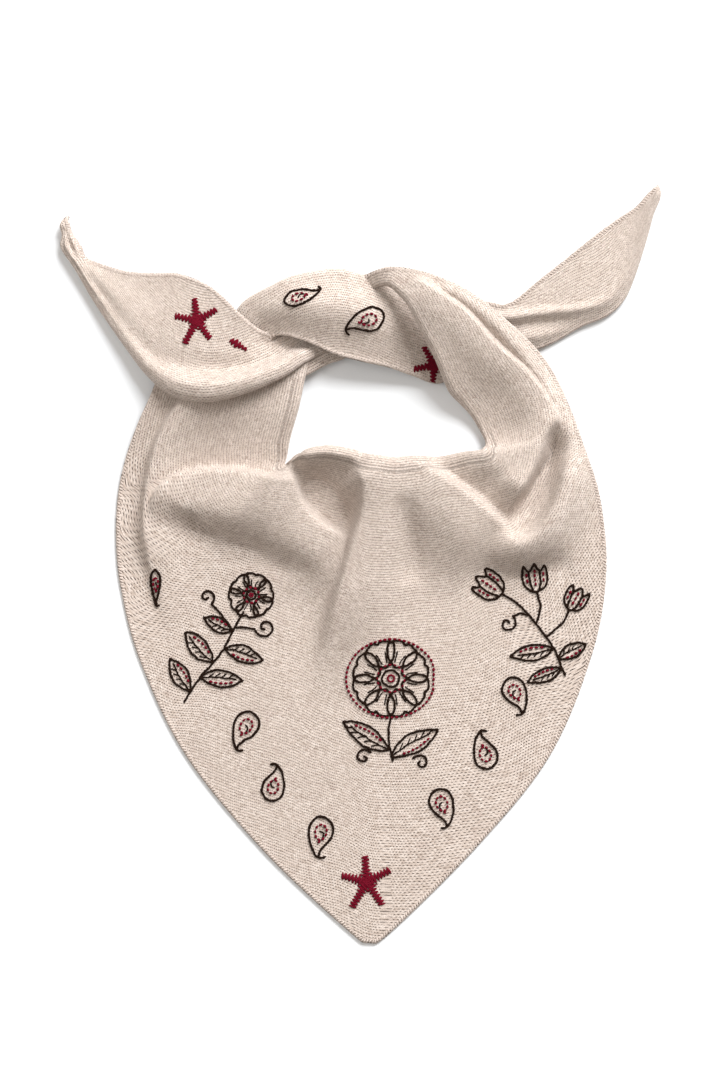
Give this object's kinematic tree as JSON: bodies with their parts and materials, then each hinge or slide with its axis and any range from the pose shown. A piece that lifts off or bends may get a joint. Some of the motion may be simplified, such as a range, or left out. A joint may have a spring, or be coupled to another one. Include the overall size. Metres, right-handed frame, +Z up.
{
  "type": "neckerchief",
  "caption": "Knitted triangular neckerchief laid flat and tied with one half-knot, with embroidered stars, sprigs and paisleys, worn round the neck.",
  "frame": {"origin": "middle of the neckerchief's bounding box in plan, on the surface that it lies on", "axes": "+Y from the bib's point towards the knot, +Z up off the surface, +X to the right tail as seen from above"},
  "size_m": [0.4204, 0.5298, 0.0434],
  "materials": {
    "knit": "heather oatmeal fine-gauge knit, matte and slightly fuzzy",
    "crimson_thread": "dark crimson embroidery wool, satin stitched"
  },
  "bodies": {
    "root": {"kerchief": "knit", "star_bib": "crimson_thread", "star_left_tail": "crimson_thread"}
  },
  "joints": []
}
